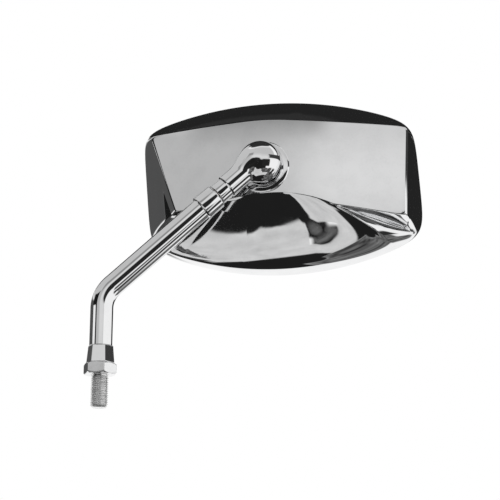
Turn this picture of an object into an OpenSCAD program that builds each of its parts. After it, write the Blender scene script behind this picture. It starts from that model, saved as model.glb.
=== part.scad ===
// Motorcycle mirror: a chromed head on a bent stem with a turned elbow.
// The head swings on a ball behind its back panel, and an M10 stud carries the stem.
// Z runs up along the stud, X along the head and Y from its back towards its glass.

/* [Stud and lock nut] */
// Outer radius of the stud's thread
stud_r = 5; // [4:0.5:6]
// Length of thread below the lock nut, with its chamfer
stud_reach = 18; // [12:1:30]
// Height of the chamfer on the stud's tip
stud_chamfer = 1.2; // [0.5:0.1:2]
// Width of the relief groove between the thread and the nut
groove_w = 1; // [0.5:0.1:2]
// Depth of the relief groove below the thread's outer radius
groove_depth = 0.8; // [0.4:0.1:1.2]
// Width of the lock nut across its flats
nut_flats = 17; // [15:0.5:22]
// Height of the lock nut
nut_h = 6.4; // [5:0.2:10]
// Radial clearance between the lock nut's bore and the stud
nut_clearance = 0.05; // [0.02:0.01:0.1]
// Depth of the countersink round the nut's bore
nut_sink = 0.5; // [0.2:0.1:0.9]

/* [Stem] */
// Height of the tapered hexagonal sleeve
sleeve_h = 10.4; // [8:0.2:16]
// Width across the flats at the sleeve's lower end
sleeve_flats_low = 14.3; // [13.6:0.1:17]
// Width across the flats at the sleeve's upper end
sleeve_flats_high = 12.6; // [12.4:0.1:15]
// Outer radius of the stem's tube
tube_r = 6.65; // [6:0.05:6.7]
// Wall of the stem's tube
tube_wall = 1.3; // [1:0.1:1.6]
// Height of the bend's corner above the stud's thread
stem_rise = 48.2; // [44:0.1:90]
// Angle of the arm above the horizontal
arm_angle = 42.6; // [30:0.1:60]
// Radius of the bend on the tube's centre line
bend_r = 18; // [15:0.5:24]
// Distance from the bend's corner to the middle of the elbow's eye
arm_length = 123.3; // [115:0.1:150]

/* [Swivel] */
// Distance from the eye's middle back to the end of the tube
tube_end_back = 33.6; // [31:0.1:38]
// Length of the collar on the tube's end
collar_l = 12.4; // [8:0.1:16]
// Outer radius of the collar
collar_r = 7.75; // [7.3:0.05:9]
// Length of the bush inside the tube
bush_l = 10; // [6:0.5:12]
// Radius of the swivel's spigot
spigot_r = 3.5; // [3:0.1:4]
// Radial clearance between the spigot and the bush
spigot_clearance = 0.05; // [0.02:0.01:0.1]
// Depth that the spigot is pressed into the elbow
spigot_seat = 20; // [14:0.5:21]
// Free height of the wave washer
washer_h = 1.4; // [1:0.1:2]
// Thickness of the wave washer's strip
washer_t = 0.5; // [0.3:0.1:0.7]
// Thickness of the retaining ring
circlip_t = 0.8; // [0.6:0.1:1.2]
// Gap between the turning elbow and the end of the tube
swivel_gap = 0.3; // [0.2:0.05:0.6]

/* [Elbow] */
// Length of the turned neck between the collar and the elbow
neck_l = 7.4; // [5:0.1:9]
// Radius of that neck
neck_r = 6.5; // [6:0.05:7]
// Radius of the elbow's arm
elbow_r = 7.25; // [7:0.05:8]
// Offset of the eye's middle to the lower side of the arm's axis
eye_offset = 1.4; // [0:0.1:3]
// Radius of the domed eye
eye_r = 13; // [11.5:0.1:15]
// Height of the dome above the eye's widest circle
dome_h = 8.6; // [7:0.1:11]
// Height of the eye's widest circle above the back panel
eye_lift = 10; // [9.5:0.1:13]
// Turn of the eye's axis about the vertical
eye_yaw = -12.1; // [-20:0.1:-5]

/* [Ball joint] */
// Radius of the ball
ball_r = 11.5; // [11:0.1:12.5]
// Radius of the ball's neck
ball_neck_r = 8.5; // [6:0.1:8.6]
// Depth of the ball's centre below the panel's outer face
ball_depth = 5.5; // [5:0.1:7]
// Gap between the ball and what it turns in
ball_gap = 0.3; // [0.2:0.05:0.5]
// Wall of the nylon seats
seat_wall = 1.4; // [1:0.1:2]
// Radius of the opening in the shell round the ball
opening_r = 11.4; // [11.2:0.1:12.5]
// Wall of the pressure cup
cup_wall = 1.2; // [0.8:0.1:1.6]
// Height of the disc spring
spring_h = 1.4; // [1:0.1:2]
// Thickness of the disc spring's wall
spring_t = 0.7; // [0.5:0.1:1]
// Thickness of the bracket plate
bracket_t = 1.5; // [1:0.1:2]
// Radius of the circle through the bracket's screws
screw_circle_r = 19.5; // [19:0.1:21]
// Radius of the bracket's screws
screw_r = 2; // [1.5:0.1:2.5]
// Number of screws in the bracket
screw_count = 3; // [3:1:4]

/* [Head] */
// Turn of the head about the eye's axis
head_roll = 4.8; // [-10:0.1:10]
// Distance from the ball to the head's near side
rim_left = 79.7; // [76:0.1:100]
// Distance from the ball to the head's far side
rim_right = 90.7; // [85:0.1:110]
// Height of the head's top arc above the ball
rim_top = 52; // [50:0.1:65]
// Radius of the head's top arc
rim_top_r = 216; // [180:1:300]
// Distance of the bottom arc's lowest point below the ball
rim_bottom = 59.1; // [55:0.1:70]
// Radius of the head's bottom arc
rim_bottom_r = 185; // [160:1:260]
// Cant of the rim's plane against the panel, across the head
rim_cant = 5.1; // [0:0.1:6]
// Tilt of the rim's plane against the panel, up the head
rim_tilt = -5; // [-6:0.1:4]
// Run of the near wall from the rim to the panel
near_run = 19.6; // [15:0.1:26]
// Run of the far wall from the rim to the panel
far_run = 4.6; // [1.5:0.1:8]
// Run of the roof from the rim to the panel
roof_run = 21; // [18:0.5:28]
// Depth of the chin's crease below the ball
crease_drop = 16.6; // [15.8:0.1:20]
// Radius of the chin's crease
crease_r = 85; // [70:1:110]
// Steepness of the chin, as its rise for each unit of run
chin_slope = 1.05; // [0.9:0.01:1.2]
// Slope of the chin where it leaves the crease, as its drop for each unit of run
chin_lead = 0.32; // [0.1:0.01:0.6]
// Height that the skirt gains under the chin
chin_skirt = 9.5; // [4:0.1:12]
// Wall of the shell
shell_wall = 1.6; // [1.2:0.1:2.2]
// Radius of the back panel's crown across the head
panel_crown = 500; // [350:10:900]

/* [Glass] */
// Depth of the glass below the rim
glass_inset = 0.8; // [0.4:0.1:1.5]
// Thickness of the mirror glass
glass_t = 2.2; // [1.8:0.1:3]
// Thickness of the foam pad behind the glass
pad_t = 0.6; // [0.4:0.1:1]
// Thickness of the backing plate
backing_t = 1.2; // [1:0.1:1.6]
// Least gap between the backing plate and the heads of the bracket's screws
glass_room = 0.46; // [0.3:0.02:6]
// Width of the gasket between the glass and the shell
gasket_w = 1.8; // [1.2:0.1:2.4]

/* [Hidden] */
$fn = 64;

// Heights along the stud
nut_bottom = groove_w;
sleeve_bottom = nut_bottom + nut_h;
sleeve_top = sleeve_bottom + sleeve_h;
tube_bore_r = tube_r - tube_wall;

// Distances along the arm from the bend's corner
tube_end = arm_length - tube_end_back;
collar_start = tube_end - collar_l;
bush_start = tube_end - bush_l;
neck_start = tube_end + swivel_gap;
elbow_start = neck_start + neck_l;
ring_start = bush_start - washer_h;
spigot_start = ring_start - circlip_t - 1.5;
ring_groove = 0.6;

// Distances along the eye's axis from the ball's centre
eye_mid = ball_depth + eye_lift;
neck_top = eye_mid - 4.2;
panel_inner = ball_depth - shell_wall;
seat_r = ball_r + ball_gap;
cup_r = seat_r + seat_wall + ball_gap;
cup_bottom = cup_r + cup_wall;
spring_bottom = cup_bottom + spring_h;
bracket_bottom = spring_bottom + bracket_t;
lock_washer_t = 0.6;
screw_l = 10;
screw_head_r = screw_r + 1.4;
screw_head_h = 1.8;
screw_bottom = bracket_bottom + lock_washer_t + screw_head_h;

// Heights above the rim's plane; a straight skirt of the shell stands round the glass
glass_top = glass_inset + glass_t;
skirt_h = glass_top;
pad_top = glass_top + pad_t;
backing_top = pad_top + backing_t;
glass_edge = shell_wall + gasket_w;
backing_edge = glass_edge + 4;

// The rim lies as deep as the screws, the glass and the cant of its plane need
cant_rise = (screw_circle_r + screw_head_r) * norm([tan(rim_cant), tan(rim_tilt)]);
rim_level = -screw_bottom - glass_room - cant_rise - backing_top;

far_away = 10000;

// Distance along a ray at angle a to a straight side that faces angle n, d away from the ball
function ray_line(a, n, d) = let(c = cos(a - n)) c > 0.02 ? d / c : far_away;

// Distance along a ray from inside a circle to the circle
function ray_arc(a, x, y, r) = let(b = x * cos(a) + y * sin(a))
    b + sqrt(b * b - x * x - y * y + r * r);

// Distance along a ray from outside a circle to its near side
function ray_crease(a, x, y, r) = let(b = x * cos(a) + y * sin(a), q = b * b - x * x - y * y + r * r)
    b > 0 && q > 0 ? b - sqrt(q) : far_away;

// Smallest of the distances v, rounded off where two of them meet; a high p gives tight corners
function soft_min(v, p) = pow([for (x = v) pow(x, -p)] * [for (x = v) 1], -1 / p);

// The rim's outline and the back panel's outline, as distances from the ball's axis
top_apex_x = -10.5;
bottom_apex_x = 14.2;
rim_lean = 1.4;
rim_corner = 16;
function rim_ray(a) = soft_min([
    ray_line(a, -rim_lean, rim_right),
    ray_line(a, 180 - rim_lean, rim_left),
    ray_arc(a, top_apex_x, rim_top - rim_top_r, rim_top_r),
    ray_arc(a, bottom_apex_x, rim_bottom_r - rim_bottom, rim_bottom_r)], rim_corner);

panel_corner = 40;
panel_top_lean = 2;
panel_brow_lean = 10.6;
crease_apex_x = -3.9;
near_lean = 14.3;
far_lean = 7.3;
shoulder_lean = 15.9;
shoulder_drop = 17;
heel_lean = 4;
heel_drop = 15.4;
function panel_ray(a) = soft_min([
    ray_line(a, -far_lean, rim_right - far_run),
    ray_line(a, 180 + near_lean, rim_left - near_run),
    ray_line(a, 90 - panel_top_lean, rim_top - roof_run),
    ray_line(a, 90 - panel_brow_lean, rim_top - roof_run),
    max(ray_line(a, -90 - shoulder_lean, shoulder_drop), ray_line(a, heel_lean - 90, heel_drop)),
    ray_crease(a, crease_apex_x, -crease_drop - crease_r, crease_r)], panel_corner);

// Heights of the crowned panel and of the rim's canted plane
panel_crown_v = 600;
function panel_w(p) = ball_depth - p.x * p.x / (2 * panel_crown) - p.y * p.y / (2 * panel_crown_v);
function rim_w(p) = rim_level - tan(rim_cant) * p.x - tan(rim_tilt) * p.y;

function polar(a, r) = [r * cos(a), r * sin(a)];
function blend(a, b, s) = a + (b - a) * s;
function smooth(x) = let(t = min(1, max(0, x))) t * t * (3 - 2 * t);

// 1 along the chin, falling to 0 at the walls beside it
chin_start = -152;
chin_tip = -27.3;
function signed(a) = a > 180 ? a - 360 : a;
function chin_part(a) = smooth((signed(a) - chin_start) / 8) * smooth((chin_tip + 1.5 - signed(a)) / 1.5);

// Height of the straight skirt, which grows under the chin
function skirt(a) = skirt_h
    + chin_skirt * smooth((signed(a) - chin_start) / 14) * smooth((chin_tip - 10 - signed(a)) / 30);

// Angles of the rays, closer together round the chin's tip and the panel's corners
angles = concat(
    [for (a = [-60:1.5:13.5]) a],
    [for (a = [15:4:139]) a],
    [for (a = [143:2:165]) a],
    [for (a = [170:5:190]) a],
    [for (a = [195:2.5:212.5]) a],
    [for (a = [216:4:296]) a]);
around = len(angles);
rim_line = [for (a = angles) polar(a, rim_ray(a))];
panel_line = [for (a = angles) polar(a, panel_ray(a))];

// How far the crease lies outside the panel's edge: it runs out to the rim at the chin's tip
edge_run = 1.5;
edge_drop = 1.3;
tip_run = 6;
function crease_run(a) = let(t = signed(a), d = rim_ray(a) - panel_ray(a))
    min(d * 0.97, edge_run + tip_run * smooth((t - chin_tip + 6) / 6) * smooth((chin_tip + 14 - t) / 10));
crease_line = [for (a = angles) polar(a, panel_ray(a) + min(0.5 * (rim_ray(a) - panel_ray(a)) + tip_run, crease_run(a)))];

// Height of the crease ring: the panel's edge, or the chin's top where that is lower
function crease_w(i) = let(
    a = angles[i],
    p = crease_line[i],
    low = rim_w(rim_line[i]) + skirt(a),
    high = panel_w(p) - edge_drop,
    run = norm(p - rim_line[i]),
    whole = max(norm(panel_line[i] - rim_line[i]) - edge_run, run),
    on_wall = blend(low, high, min(1, run / whole)),
    on_chin = min(high, low + chin_slope * run))
    blend(on_wall, on_chin, chin_part(a));

// Points on the wall between the skirt and the crease: crowned outwards, and rounded into the
// skirt under the chin
wall_bulge = 0.075;
function wall_point(i, s) = let(
    a = rim_line[i],
    b = crease_line[i],
    low = rim_w(a) + skirt(angles[i]),
    high = crease_w(i),
    run = norm(b - a),
    out = run > 0 ? (a - b) / run : [0, 0],
    mid = (a + b) / 2 + out * wall_bulge * run * 0.8,
    crowned = [mid.x, mid.y, (low + high) / 2 + 2 * wall_bulge * run],
    rounded = [a.x, a.y, max(high - chin_lead * run, low + 0.1 * run)],
    turn = blend(crowned, rounded, chin_part(angles[i])))
    pow(1 - s, 2) * [a.x, a.y, low] + 2 * s * (1 - s) * turn + s * s * [b.x, b.y, high];

// A ring of points at the height that w gives for each
function ring(line, w) = [for (i = [0:around - 1]) [line[i].x, line[i].y, w[i]]];

// A plan line moved inwards by d, square to itself
function inset(line, d) = [for (i = [0:around - 1]) let(
    t = line[(i + 1) % around] - line[(i + around - 1) % around])
    [line[i].x, line[i].y] + d * [-t.y, t.x] / norm([t.x, t.y])];

opening_line = [for (a = angles) polar(a, opening_r)];
function between(s) = [for (i = [0:around - 1]) blend(opening_line[i], panel_line[i], s)];
function lift(line, drop) = [for (p = line) panel_w(p) - drop];
function flatten(line) = [for (p = line) [p.x, p.y]];

rim_low = [for (p = rim_line) rim_w(p)];
rim_high = [for (i = [0:around - 1]) rim_w(rim_line[i]) + skirt(angles[i])];
crease_high = [for (i = [0:around - 1]) crease_w(i)];
function wall_ring(s) = [for (i = [0:around - 1]) wall_point(i, s)];
function wall_inner(s) = let(outer = wall_ring(s), line = inset(flatten(outer), shell_wall * 1.1))
    [for (i = [0:around - 1]) [line[i].x, line[i].y, max(outer[i].z - shell_wall * 0.8, rim_high[i] + 0.3)]];

edge_line = [for (i = [0:around - 1]) blend(panel_line[i], crease_line[i], 0.45)];
inner_rim = inset(rim_line, shell_wall);
inner_crease = inset(crease_line, shell_wall * 1.2);
inner_panel = inset(panel_line, shell_wall * 1.7);
inner_mid = between(0.5);

// The shell's rings, from the rim up over the outside to the opening, then back along the inside
shell_rings = [
    ring(rim_line, rim_low),
    ring(rim_line, rim_high),
    for (s = [0.25, 0.5, 0.75]) wall_ring(s),
    ring(crease_line, crease_high),
    ring(edge_line, lift(edge_line, edge_drop * 0.3)),
    ring(panel_line, lift(panel_line, 0)),
    for (s = [0.66, 0.33, 0]) ring(between(s), lift(between(s), 0)),
    ring(opening_line, lift(opening_line, shell_wall)),
    ring(inner_mid, lift(inner_mid, shell_wall)),
    ring(inner_panel, lift(inner_panel, shell_wall)),
    ring(inner_crease, [for (i = [0:around - 1]) max(crease_high[i] - shell_wall, rim_high[i] + 0.6)]),
    wall_inner(0.5),
    ring(inner_rim, [for (i = [0:around - 1]) max(rim_high[i], rim_w(inner_rim[i]) + skirt_h + 0.1)]),
    ring(inner_rim, [for (p = inner_rim) rim_w(p)])];

// Faces of a stack of rings whose last ring joins its first
function closed_faces(n) = [for (j = [0:n - 1], i = [0:around - 1]) let(
    k = (j + 1) % n,
    m = (i + 1) % around)
    each [[j * around + i, k * around + i, k * around + m], [j * around + i, k * around + m, j * around + m]]];

module closed_loft(rings) {
    polyhedron(points = [for (r = rings) each r], faces = closed_faces(len(rings)), convexity = 8);
}

// A plate in the rim's canted plane: its edge lies d inside the rim, from low to high above the plane
module canted_plate(d, low, high) {
    line = inset(rim_line, d);
    points = [for (h = [low, high]) each [for (p = line) [p.x, p.y, rim_w(p) + h]]];
    sides = [for (i = [0:around - 1]) let(m = (i + 1) % around) [i, i + around, m + around, m]];
    polyhedron(points = points, faces = [
        [for (i = [0:around - 1]) i],
        [for (i = [around - 1:-1:0]) i + around],
        each sides]);
}

// Places
module along_arm(s) {
    translate([0, 0, stem_rise])
        rotate([0, 90 - arm_angle, 0])
            translate([0, 0, s])
                children();
}

module at_eye() {
    along_arm(arm_length)
        translate([eye_offset, 0, 0])
            rotate([0, arm_angle - 90, 0])
                rotate([0, 0, eye_yaw])
                    rotate([90, 0, 0])
                        children();
}

module at_ball() {
    at_eye() translate([0, 0, -eye_mid]) children();
}

module in_head() {
    at_ball() rotate([0, 0, head_roll]) children();
}

module at_screws() {
    for (i = [0:screw_count - 1])
        rotate([0, 0, 90 + i * 360 / screw_count])
            translate([screw_circle_r, 0, 0])
                children();
}

// A tube along +Z
module tube(outer_r, inner_r, h) {
    difference() {
        cylinder(r = outer_r, h = h);
        translate([0, 0, -1]) cylinder(r = inner_r, h = h + 2);
    }
}

// The stud's cylinder, its relief groove and its chamfered tip
module threaded_stud() {
    stud_top = sleeve_top - 1;
    color("silver")
        rotate_extrude()
            polygon([
                [0, -stud_reach],
                [stud_r - stud_chamfer, -stud_reach],
                [stud_r, stud_chamfer - stud_reach],
                [stud_r, 0],
                [stud_r - groove_depth, 0],
                [stud_r - groove_depth, groove_w],
                [stud_r, groove_w],
                [stud_r, stud_top],
                [0, stud_top]]);
}

// A hexagon's flats with both ends turned to a cone
module lock_nut() {
    corner_r = nut_flats / sqrt(3);
    turned_r = nut_flats / 2 - 0.1;
    cone_h = (corner_r - turned_r) * tan(30);
    color("gainsboro")
        difference() {
            translate([0, 0, nut_bottom])
                intersection() {
                    rotate([0, 0, -9.5]) cylinder(r = corner_r, h = nut_h, $fn = 6);
                    rotate_extrude()
                        polygon([
                            [0, 0],
                            [turned_r, 0],
                            [corner_r + 0.1, cone_h],
                            [corner_r + 0.1, nut_h - cone_h],
                            [turned_r, nut_h],
                            [0, nut_h]]);
                }
            cylinder(r = stud_r + nut_clearance, h = 3 * nut_h, center = true);
            translate([0, 0, nut_bottom])
                cylinder(r1 = stud_r + nut_clearance + nut_sink, r2 = stud_r + nut_clearance, h = nut_sink);
        }
}

// A six-sided pyramid's stump round the foot of the tube
module hex_sleeve() {
    low_r = sleeve_flats_low / sqrt(3);
    high_r = sleeve_flats_high / sqrt(3);
    stud_top = sleeve_top - 1;
    color("gainsboro")
        translate([0, 0, sleeve_bottom])
            difference() {
                rotate([0, 0, -3.7])
                    cylinder(r1 = low_r, r2 = high_r, h = sleeve_h, $fn = 6);
                translate([0, 0, -1]) cylinder(r = stud_r, h = sleeve_h);
                translate([0, 0, stud_top - sleeve_bottom]) cylinder(r = tube_bore_r, h = sleeve_h);
            }
}

// The straight foot and the arm of the tube lap over the bend, whose wall is thinner by a skin there
seam_lap = 0.5;
seam_skin = 0.04;
module stem_tube() {
    bend_reach = bend_r * tan((90 - arm_angle) / 2);
    foot_l = stem_rise - bend_reach - sleeve_top;
    color("lightgray") {
        translate([0, 0, sleeve_top]) tube(tube_r, tube_bore_r, foot_l + seam_lap);
        translate([bend_r, 0, stem_rise - bend_reach])
            rotate([90, 0, 0])
                rotate_extrude(angle = -(90 - arm_angle), start = 180)
                    translate([bend_r, 0])
                        difference() {
                            circle(r = tube_r - seam_skin);
                            circle(r = tube_bore_r + seam_skin);
                        }
        along_arm(bend_reach - seam_lap)
            tube(tube_r, tube_bore_r, tube_end - bend_reach + seam_lap);
    }
}

// The collar over the tube's end, with a chamfer at each edge
module swivel_collar() {
    chamfer = 0.8;
    color("gainsboro")
        along_arm(collar_start)
            rotate_extrude()
                polygon([
                    [tube_r, 0],
                    [collar_r - chamfer, 0],
                    [collar_r, chamfer],
                    [collar_r, collar_l - chamfer],
                    [collar_r - chamfer, collar_l],
                    [tube_r, collar_l]]);
}

module swivel_bush() {
    color("peru")
        along_arm(bush_start) tube(tube_bore_r, spigot_r + spigot_clearance, bush_l);
}

// The spigot that the elbow turns on, grooved for its retaining ring
module swivel_spigot() {
    chamfer = 0.5;
    h = neck_start + spigot_seat - spigot_start;
    groove_low = ring_start - circlip_t - spigot_start;
    color("silver")
        along_arm(spigot_start)
            rotate_extrude()
                polygon([
                    [0, 0],
                    [spigot_r - chamfer, 0],
                    [spigot_r, chamfer],
                    [spigot_r, groove_low],
                    [spigot_r - ring_groove, groove_low],
                    [spigot_r - ring_groove, groove_low + circlip_t],
                    [spigot_r, groove_low + circlip_t],
                    [spigot_r, h],
                    [0, h]]);
}

// A strip bent into three waves round the spigot
module wave_washer() {
    waves = 3;
    steps = 36;
    inner = spigot_r + 0.2;
    outer = tube_bore_r - 0.35;
    swing = (washer_h - washer_t) / 2;
    points = [for (i = [0:steps - 1]) let(a = i * 360 / steps, z = swing * (1 + cos(waves * a)))
        each [for (q = [[inner, 0], [outer, 0], [outer, washer_t], [inner, washer_t]])
            [q[0] * cos(a), q[0] * sin(a), z + q[1]]]];
    faces = [for (i = [0:steps - 1], j = [0:3]) let(m = (i + 1) % steps, k = (j + 1) % 4)
        each [[i * 4 + j, i * 4 + k, m * 4 + k], [i * 4 + j, m * 4 + k, m * 4 + j]]];
    color("dimgray")
        along_arm(ring_start) polyhedron(points = points, faces = faces);
}

// An open ring in the spigot's groove
module retaining_ring() {
    opening = 3;
    color("dimgray")
        along_arm(ring_start - circlip_t)
            difference() {
                tube(tube_bore_r - 0.45, spigot_r - ring_groove, circlip_t);
                translate([0, -opening / 2, -1]) cube([tube_r, opening, circlip_t + 2]);
            }
}

// The dome's outline, half a turn of which makes the eye
function eye_profile() = concat(
    [[0, neck_top], [ball_neck_r, neck_top]],
    [for (t = [75:-15:0]) [ball_neck_r + (eye_r - ball_neck_r) * cos(t), eye_mid - (eye_mid - neck_top) * sin(t)]],
    [for (t = [10:10:80]) [eye_r * cos(t), eye_mid + dome_h * sin(t)]],
    [[0, eye_mid + dome_h]]);

// The cast elbow: a turned neck, an arm and the domed eye, run together by a swelling
module elbow() {
    swell_back = 15;
    swell_r = 10.2;
    stud_hole_r = 4;
    color("lightgray")
        difference() {
            union() {
                along_arm(neck_start) cylinder(r = neck_r, h = neck_l + 1);
                along_arm(elbow_start)
                    rotate_extrude()
                        polygon([
                            [0, 0],
                            [elbow_r - 0.8, 0],
                            [elbow_r, 0.8],
                            [elbow_r, arm_length - elbow_start],
                            [0, arm_length - elbow_start]]);
                at_eye() translate([0, 0, -eye_mid]) rotate_extrude() polygon(eye_profile());
                hull() {
                    along_arm(arm_length - swell_back) sphere(r = elbow_r, $fn = 32);
                    at_eye() translate([-eye_offset, 0, 0]) scale([1, 1, 0.6]) sphere(r = swell_r, $fn = 32);
                }
            }
            along_arm(neck_start - 1) cylinder(r = spigot_r, h = spigot_seat + 1);
            at_ball() cylinder(r = ball_neck_r, h = neck_top);
            at_ball() cylinder(r = stud_hole_r, h = neck_top + 7);
        }
}

// The ball, its neck and the shank that is pressed into the eye
module ball_stud() {
    shank_r = 4;
    shank_l = 7;
    color("silver")
        at_ball() {
            sphere(r = ball_r);
            cylinder(r = ball_neck_r, h = neck_top);
            cylinder(r = shank_r, h = neck_top + shank_l);
        }
}

// The nylon bowl under the ball
module inner_seat() {
    lip = 5.5;
    color("white")
        in_head()
            difference() {
                sphere(r = seat_r + seat_wall);
                sphere(r = seat_r);
                translate([0, 0, seat_r - lip]) cube([4 * seat_r, 4 * seat_r, 2 * seat_r], center = true);
            }
}

// The metal cup that presses the bowl up
module pressure_cup() {
    lip = 8;
    outer_r = 12.4;
    color("silver")
        in_head()
            difference() {
                translate([0, 0, -cup_bottom]) cylinder(r = outer_r, h = cup_bottom - lip);
                sphere(r = cup_r);
            }
}

// A dished spring between the cup and the bracket
module disc_spring() {
    inner = 4;
    outer = 10;
    color("dimgray")
        in_head()
            rotate_extrude()
                polygon([
                    [inner, -cup_bottom],
                    [inner, -cup_bottom - spring_t],
                    [outer, -spring_bottom],
                    [outer, -spring_bottom + spring_t]]);
}

// The chromed shell, open at the rim and round the ball
module mirror_shell() {
    color("lightgray") in_head() closed_loft(shell_rings);
}

socket_r = ball_r + 2.7;
socket_top = panel_inner - 0.45;

// The nylon ring that the ball turns in, round the opening
module outer_seat() {
    low = -1;
    color("white")
        in_head()
            difference() {
                translate([0, 0, low]) cylinder(r = socket_r, h = socket_top - low);
                sphere(r = seat_r);
            }
}

// The ring behind the panel that holds the seat, with a post for each screw
module socket_housing() {
    low = -3;
    high = socket_top - 3;
    housing_wall = 3;
    post_r = 3.6;
    post_top = panel_w([screw_circle_r + post_r, 0]) - shell_wall - 0.45;
    color("gray")
        in_head()
            difference() {
                union() {
                    translate([0, 0, low]) cylinder(r = socket_r + housing_wall, h = high - low);
                    at_screws()
                        translate([0, 0, -spring_bottom]) cylinder(r = post_r, h = post_top + spring_bottom);
                }
                translate([0, 0, low - 1]) cylinder(r = socket_r, h = high - low + 2);
                at_screws()
                    translate([0, 0, -spring_bottom - 1]) cylinder(r = screw_r + 0.05, h = screw_l + 1);
            }
}

// The plate that the screws pull up against the spring
module bracket_plate() {
    plate_r = screw_circle_r + 3.6;
    color("darkgray")
        in_head()
            difference() {
                translate([0, 0, -bracket_bottom]) cylinder(r = plate_r, h = bracket_t);
                translate([0, 0, -bracket_bottom - 1]) cylinder(r = 3, h = bracket_t + 2);
                at_screws()
                    translate([0, 0, -bracket_bottom - 1]) cylinder(r = screw_r + 0.3, h = bracket_t + 2);
            }
}

module lock_washers() {
    color("dimgray")
        in_head()
            at_screws()
                translate([0, 0, -bracket_bottom - lock_washer_t])
                    tube(screw_r + 1.7, screw_r + 0.1, lock_washer_t);
}

// The screws, with a slot across each head
module bracket_screws() {
    top = bracket_bottom + lock_washer_t;
    color("silver")
        in_head()
            at_screws()
                translate([0, 0, -top])
                    difference() {
                        union() {
                            translate([0, 0, -screw_head_h]) cylinder(r = screw_head_r, h = screw_head_h);
                            cylinder(r = screw_r, h = screw_l);
                        }
                        translate([-screw_head_r, -0.4, -screw_head_h - 1]) cube([2 * screw_head_r, 0.8, 1.8]);
                    }
}

module mirror_glass() {
    color("lightsteelblue") in_head() canted_plate(glass_edge, glass_inset, glass_top);
}

module foam_pad() {
    color("dimgray") in_head() canted_plate(backing_edge, glass_top, pad_top);
}

module backing_plate() {
    color("black") in_head() canted_plate(backing_edge, pad_top, backing_top);
}

// The gasket between the glass and the shell, with a lip over the glass's edge
module rim_gasket() {
    lip = 1.2;
    bottom = 0.1;
    function level(d, h) = let(line = inset(rim_line, d)) [for (p = line) [p.x, p.y, rim_w(p) + h]];
    color("black")
        in_head()
            closed_loft([
                level(shell_wall, bottom),
                level(shell_wall, glass_top),
                level(glass_edge, glass_top),
                level(glass_edge, glass_inset),
                level(glass_edge + lip, glass_inset),
                level(glass_edge + lip, bottom)]);
}

threaded_stud();
lock_nut();
hex_sleeve();
stem_tube();
swivel_collar();
swivel_bush();
elbow();
swivel_spigot();
wave_washer();
retaining_ring();
ball_stud();
inner_seat();
pressure_cup();
mirror_shell();
outer_seat();
socket_housing();
disc_spring();
bracket_plate();
bracket_screws();
lock_washers();
backing_plate();
foam_pad();
mirror_glass();
rim_gasket();
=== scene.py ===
"""Finished shapes, finishes, studio and camera for a motorcycle mirror on a bent stem.

The sizes are those of the part's source, in millimetres. Every mesh is written in metres, in the
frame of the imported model: Z up along the stud, X along the head, Y from its back to its glass.
"""

from __future__ import annotations

import logging
import math
from dataclasses import dataclass, field
from enum import Enum
from typing import Sequence, Union

import bmesh
import bpy
import numpy as np
from mathutils import Matrix, Vector

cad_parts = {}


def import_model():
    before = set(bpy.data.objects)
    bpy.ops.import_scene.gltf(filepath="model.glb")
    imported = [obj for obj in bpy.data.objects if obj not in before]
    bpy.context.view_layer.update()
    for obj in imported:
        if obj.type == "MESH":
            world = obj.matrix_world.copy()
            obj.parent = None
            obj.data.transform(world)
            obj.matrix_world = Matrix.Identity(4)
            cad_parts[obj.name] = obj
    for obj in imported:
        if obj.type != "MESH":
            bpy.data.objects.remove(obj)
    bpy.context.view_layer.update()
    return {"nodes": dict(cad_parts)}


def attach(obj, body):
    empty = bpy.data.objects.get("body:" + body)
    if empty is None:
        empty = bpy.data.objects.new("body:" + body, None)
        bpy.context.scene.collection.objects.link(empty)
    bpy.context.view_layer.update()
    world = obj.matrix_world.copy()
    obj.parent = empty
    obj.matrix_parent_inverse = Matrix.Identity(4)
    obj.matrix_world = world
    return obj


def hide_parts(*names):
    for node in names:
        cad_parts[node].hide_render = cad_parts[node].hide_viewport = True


LOG = logging.getLogger("mirror")
MM = 0.001
FULL_TURN = 2 * math.pi
FAR = 1e4
Socket = bpy.types.NodeSocket
Value = Union[float, bpy.types.NodeSocket]
Rings = list[np.ndarray]
Profile = Sequence[tuple[float, float]]
Colour = tuple[float, float, float, float]


class Body(str, Enum):
    """The bodies that the finished pieces ride on."""

    STEM = "stem"
    LOCK_NUT = "lock_nut"
    ELBOW = "elbow"
    HEAD = "head"


class Slot(str, Enum):
    """The record's material slots that the finished pieces are labelled with."""

    CHROME = "chrome"
    ZINC = "zinc_steel"
    GLASS = "mirror_glass"
    RUBBER = "gasket_rubber"


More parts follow.
